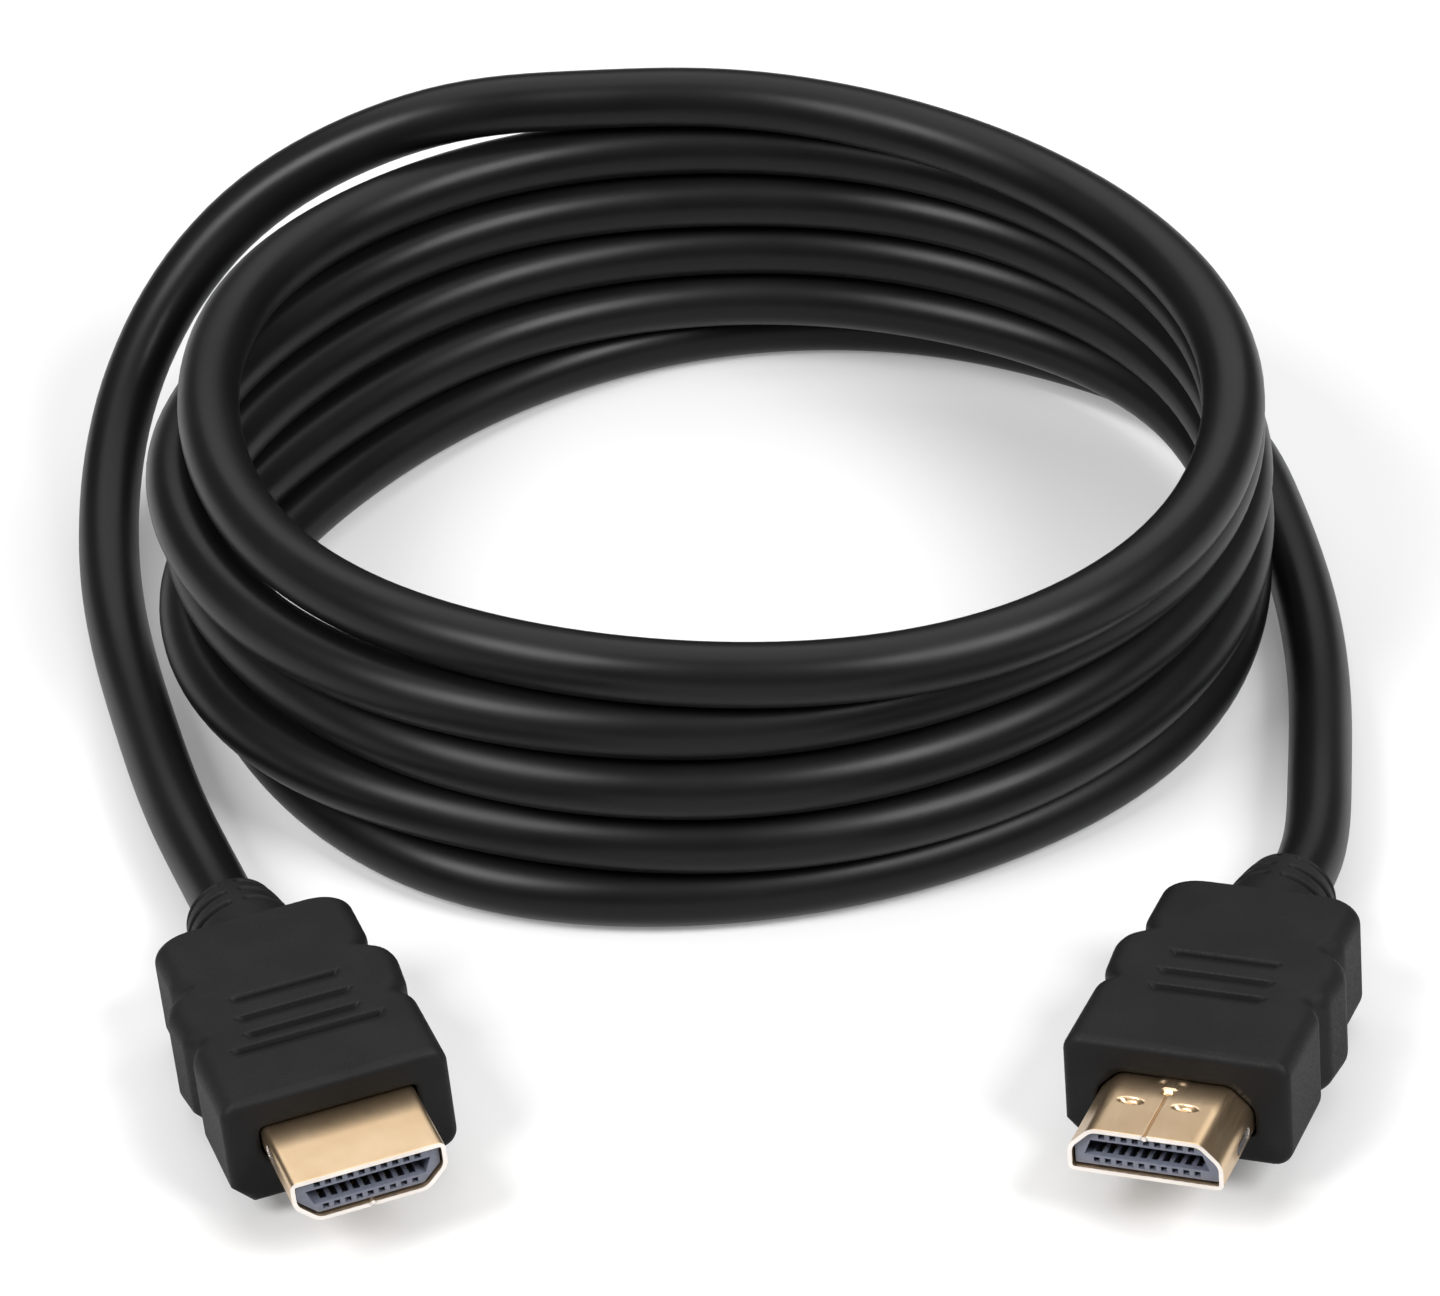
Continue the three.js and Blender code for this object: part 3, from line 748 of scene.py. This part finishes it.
def d_outline(inset, corner, edge_points, wide_up):
    """The D's corners, each cut back along both edges and joined by an arc-like quadratic curve, with
    straight runs between. Returns the points anticlockwise from the wide face's end, and for each the
    outward direction."""
    half = SHELL_HEIGHT / 2
    slope = np.arctan2((SHELL_WIDE - SHELL_NARROW) / 2, SHELL_HEIGHT - SHELL_SIDE)
    wide = SHELL_WIDE / 2 - inset
    side = half - SHELL_SIDE + inset * np.tan(slope / 2)
    narrow = SHELL_NARROW / 2 - inset * np.tan((np.pi / 2 - slope) / 2)
    corners = np.array([
        [wide, half - inset], [-wide, half - inset], [-wide, side],
        [-narrow, inset - half], [narrow, inset - half], [wide, side],
    ])
    before = np.roll(corners, 1, axis=0) - corners
    after = np.roll(corners, -1, axis=0) - corners
    start, end = corners + corner * unit(before), corners + corner * unit(after)
    t = np.linspace(0, 1, 9)[None, :, None]
    arcs = (1 - t) ** 2 * start[:, None] + 2 * t * (1 - t) * corners[:, None] + t ** 2 * end[:, None]
    parts = []
    for i in range(6):
        run = np.asarray(edge_points[i])[1:-1, None]
        parts += [arcs[i], end[i] + (start[(i + 1) % 6] - end[i]) * run]
    outline = np.concatenate(parts)
    if not wide_up:
        outline = -outline
    along = np.roll(outline, -1, axis=0) - np.roll(outline, 1, axis=0)
    return outline, unit(np.stack([along[:, 1], -along[:, 0]], -1))


def pocket_distance(direction, wide_up):
    """Distance from the axis to the pocket's outline along each direction."""
    outline, _ = d_outline(-0.25, SHELL_CORNER, [np.linspace(0, 1, 60)] * 6, wide_up)
    angle = np.mod(np.arctan2(outline[:, 1], outline[:, 0]), 2 * np.pi)
    order = np.argsort(angle)
    return np.interp(direction, angle[order], np.hypot(*outline[order].T), period=2 * np.pi)


# %% Make both grips


def make_grip(plug, ribs):
    """Stacks the pocket, the front face, the grip and the strain relief, and presses the reliefs in."""
    grip = grip_stations()
    rows = np.concatenate([grip, collar_stations(grip[-1])])
    place = rows[:, 0][:, None]
    distance = rounded_section(directions[None], *(rows[:, k][:, None] for k in (1, 2, 3)))
    x, up = distance * np.cos(directions), distance * np.sin(directions)
    sunk = ring_groove_depth(x, place) * (place > GRIP_LENGTH)
    x, up = x * (1 - sunk / distance), up * (1 - sunk / distance)
    flat = (np.abs(up) > HALF_HEIGHT - FLAT_TOLERANCE) & (place < GRIP_LENGTH - REAR_ROUND)
    up = up - np.sign(up) * rib_depth(x, place, ribs) * flat
    pocket = pocket_distance(directions, plug.wide_up)
    inner_x, inner_up = pocket * np.cos(directions), pocket * np.sin(directions)
    inward = np.linspace(0, 1, 6)[:-1, None]
    face_x, face_up = inner_x + (x[0] - inner_x) * inward, inner_up + (up[0] - inner_up) * inward
    # The first rings are the pocket: the middle and the edge of its floor, and its wall near the face
    floor = np.array([POCKET_DEPTH, POCKET_DEPTH, POCKET_LIP])[:, None]
    shrink = np.array([0.5, 1, 1])[:, None]
    all_x = np.concatenate([shrink * inner_x, face_x, x])
    all_up = np.concatenate([shrink * inner_up, face_up, up])
    back = np.concatenate([floor, np.zeros((5, 1)), place]) + 0 * all_x
    rings = np.stack([all_x, back, all_up + AXIS_HEIGHT], -1)
    piece = closed_stack(f"{plug.side}_moulded_grip", plug.at(rings), [moulded])
    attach(piece, "root")
    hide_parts(f"{plug.side}_plug_overmold")
    return piece


left_grip = make_grip(left_plug, [*RIBS, LONG_RIB])
right_grip = make_grip(right_plug, RIBS)

# %% [markdown]
# ## The plated shells
# A shell is a strip of steel folded into a D tube. Its outer face is a grid: round the D, and along
# the tube. The seam where the strip's ends meet, the locking tab at its root and two pressed dimples
# are all on the narrow face, and they move the grid's points in or out by a depth that depends on the
# place. Each side wall has a slot. Solidify then gives the sheet its thickness, inwards.

# %% Shell surface
SHELL_REACH = 9
SHELL_SEAT = 2
SHEET = 0.4
SLOT_BACK, SLOT_FRONT, SLOT_HEIGHT = 1.2, 4.8, 1.0
DIMPLES = [(-2.75, 3.9), (2.1, 3.9)]
DIMPLE_SIZE = (1.0, 0.5)
DIMPLE_DEPTH = 0.42
SEAM_DEPTH = 0.16
SEAM_WIDTH = 0.07
NOTCH_DEPTH = 0.3
TAB_RISE = 0.14
# Each of these eases in or out between two distances, across the seam or ahead of the grip
SEAM_START = (1.9, 2.1)
NOTCH_SIDE, NOTCH_BACK, NOTCH_FRONT = (0.28, 0.42), (1.55, 1.65), (2.1, 2.3)
TAB_SIDE, TAB_FRONT = (0.5, 0.62), (1.4, 1.5)
BAR_SIDE, BAR_FRONT = (1.1, 1.25), (0.45, 0.55)
# Closer rows of points at the dimples and at the tab: from, to and how many
CLOSE_ROWS = [(3.2, 4.6, 15), (1.3, 2.4, 13)]
LEAST_ROW_GAP = 0.02
DEBURR = 0.05


def pressed_depth(x, y):
    """Depth of what is pressed into the narrow face: oval dimples, the seam and the notch ahead of the
    tab; the locking tab itself stands out, so its depth is below zero."""
    ahead_of_grip = -y
    depth = np.zeros(np.broadcast(x, y).shape)
    for centre, distance in DIMPLES:
        oval = np.hypot((x - centre) / DIMPLE_SIZE[0], (ahead_of_grip - distance) / DIMPLE_SIZE[1])
        depth = np.maximum(depth, DIMPLE_DEPTH * (1 - smooth_step(oval, 0.7, 1.1)))
    seam = np.exp(-(x / SEAM_WIDTH) ** 2) * smooth_step(ahead_of_grip, *SEAM_START)
    notch = (1 - smooth_step(np.abs(x), *NOTCH_SIDE)) * (
        smooth_step(ahead_of_grip, *NOTCH_BACK) - smooth_step(ahead_of_grip, *NOTCH_FRONT))
    tab = (1 - smooth_step(np.abs(x), *TAB_SIDE)) * (1 - smooth_step(ahead_of_grip, *TAB_FRONT))
    bar = (1 - smooth_step(np.abs(x), *BAR_SIDE)) * (1 - smooth_step(ahead_of_grip, *BAR_FRONT))
    return depth + SEAM_DEPTH * seam + NOTCH_DEPTH * notch - TAB_RISE * np.maximum(tab, bar)


def make_shell(plug):
    """The outer face of the D tube as a grid, with its slots left open, thickened by Solidify."""
    fine = np.unique(np.concatenate([np.linspace(0, 1, 44), 0.5 + np.linspace(-0.04, 0.04, 17)]))
    plain = np.linspace(0, 1, 10)
    edge_points = [np.linspace(0, 1, 30), plain, plain, fine, plain, plain]
    outline, outward = d_outline(0, SHELL_CORNER, edge_points, plug.wide_up)
    close_rows = [-np.linspace(*rows) for rows in CLOSE_ROWS]
    y = np.unique(np.concatenate([
        np.linspace(-SHELL_REACH, SHELL_SEAT, 70), *close_rows, [-SLOT_BACK, -SLOT_FRONT],
    ]))
    y = y[np.append(True, np.diff(y) > LEAST_ROW_GAP)]
    narrow_side = -1 if plug.wide_up else 1
    on_narrow = outline[:, 1] * narrow_side > SHELL_HEIGHT / 2 - 0.01
    depth = pressed_depth(outline[None, :, 0] * narrow_side, y[:, None]) * on_narrow[None]
    section = outline[None] - outward[None] * depth[..., None]
    along = np.broadcast_to(y[:, None], depth.shape)
    rings = np.stack([section[..., 0], along, section[..., 1] + AXIS_HEIGHT], -1)
    faces = ring_faces(len(y), len(outline))
    middle = rings.reshape(-1, 3)[faces].mean(axis=1)
    slot_height = AXIS_HEIGHT - narrow_side * (SHELL_HEIGHT - SHELL_SIDE) / 2
    from_middle = np.abs(middle[:, 1] + (SLOT_BACK + SLOT_FRONT) / 2)
    run = np.clip(from_middle - (SLOT_FRONT - SLOT_BACK - SLOT_HEIGHT) / 2, 0, None)
    in_slot = np.hypot(run, middle[:, 2] - slot_height) < SLOT_HEIGHT / 2
    in_slot &= np.abs(middle[:, 0]) > SHELL_WIDE / 2 - 0.1
    piece = make_piece(f"{plug.side}_plated_shell", plug.at(rings.reshape(-1, 3)), [faces[~in_slot]],
                       [gold[plug.side], rim_steel[plug.side]])
    wall = piece.modifiers.new("sheet", "SOLIDIFY")
    wall.thickness = SHEET * MM
    wall.offset = -1
    wall.material_offset_rim = 1
    edge = piece.modifiers.new("deburred_edges", "BEVEL")
    edge.width = DEBURR * MM
    edge.segments = 2
    edge.limit_method = "ANGLE"
    edge.angle_limit = np.radians(55)
    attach(piece, "root")
    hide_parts(f"{plug.side}_plug_shell")
    return piece


left_shell = make_shell(left_plug)
right_shell = make_shell(right_plug)

# %% [markdown]
# ## Carriers and contacts
# The carriers and the thirty-eight contact strips are small machined-looking shapes that the packed
# model already has in full, windows and channels included. They stay, and get their finishes.

# %% Dress the carriers and contacts
for side in ("left", "right"):
    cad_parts[f"{side}_contact_carrier"].material_slots[0].material = carrier_plastic
    for row, count in (("wide", 10), ("narrow", 9)):
        for number in range(1, count + 1):
            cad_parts[f"{side}_contact_{row}_{number}"].material_slots[0].material = contact_gold_painted_shade

# %% [markdown]
# The right plug's pieces are gathered in one list, and the point where the cable leaves the left
# plug's strain relief is worked out in metres, though nothing uses it.

# %% The right plug's pieces and the cable's exit
right_plug_pieces = [right_grip, right_shell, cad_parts["right_contact_carrier"]]
right_plug_pieces += [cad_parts[f"right_contact_wide_{n}"] for n in range(1, 11)]
right_plug_pieces += [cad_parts[f"right_contact_narrow_{n}"] for n in range(1, 10)]
straight_out(left_plug, (0,))[0] * MM

# %% [markdown]
# ## Table and light
# The photograph is a cut-out on white with soft studio light. Black gloss shows what stands round it,
# so the room is dim and the light comes from three softboxes: a wide one above and behind the coil,
# which lightens the top of every strand, and one at each side in front, which draw the two groups of
# highlights on the front strands. The table is pale and glows a little, as a light table does, so
# that it looks white in the dim room.

# %% Table
TABLE_HALF = 3.0
TABLE_GLOW = 0.22

table_mesh = bpy.data.meshes.new("table")
table_mesh.from_pydata(
    [(-TABLE_HALF, -TABLE_HALF, 0), (TABLE_HALF, -TABLE_HALF, 0), (TABLE_HALF, TABLE_HALF, 0),
     (-TABLE_HALF, TABLE_HALF, 0)], [], [(0, 1, 2, 3)]
)
table = bpy.data.objects.new("table", table_mesh)
scene.collection.objects.link(table)
paper, paper_shader = new_finish("white_light_table", Roughness=0.9)
paper_shader.inputs["Base Color"].default_value = linear("#b0b0b0")
paper_shader.inputs["Emission Color"].default_value = linear("#ffffff")
paper_shader.inputs["Emission Strength"].default_value = TABLE_GLOW
table_mesh.materials.append(paper)

# %% Sky and lamps
ROOM_LIGHT = 0.1
LAMP_AIM = (0, 0, 0.02)
# Each softbox's place and side in metres, and its power in watts
SOFTBOXES = {
    "top_softbox": ((0, 0.42, 0.9), 1.2, 10),
    "left_softbox": ((-0.55, -0.42, 0.7), 0.4, 11),
    "right_softbox": ((0.55, -0.42, 0.7), 0.4, 11),
}

world = bpy.data.worlds.new("studio")
world.use_nodes = True
world.node_tree.nodes["Background"].inputs["Color"].default_value = linear("#ffffff")
world.node_tree.nodes["Background"].inputs["Strength"].default_value = ROOM_LIGHT
scene.world = world


def soft_lamp(name, place, size, power):
    """A square soft lamp that shines at the middle of the coil."""
    lamp = bpy.data.lights.new(name, "AREA")
    lamp.shape = "SQUARE"
    lamp.size = size
    lamp.energy = power
    holder = bpy.data.objects.new(name, lamp)
    scene.collection.objects.link(holder)
    holder.location = place
    aim = Vector(LAMP_AIM) - Vector(place)
    holder.rotation_euler = aim.to_track_quat("-Z", "Y").to_euler()
    print(name, "of", power, "W,", round(aim.length, 2), "m from the coil")


for lamp_name, settings in SOFTBOXES.items():
    soft_lamp(lamp_name, *settings)
scene.view_settings.view_transform = "Standard"
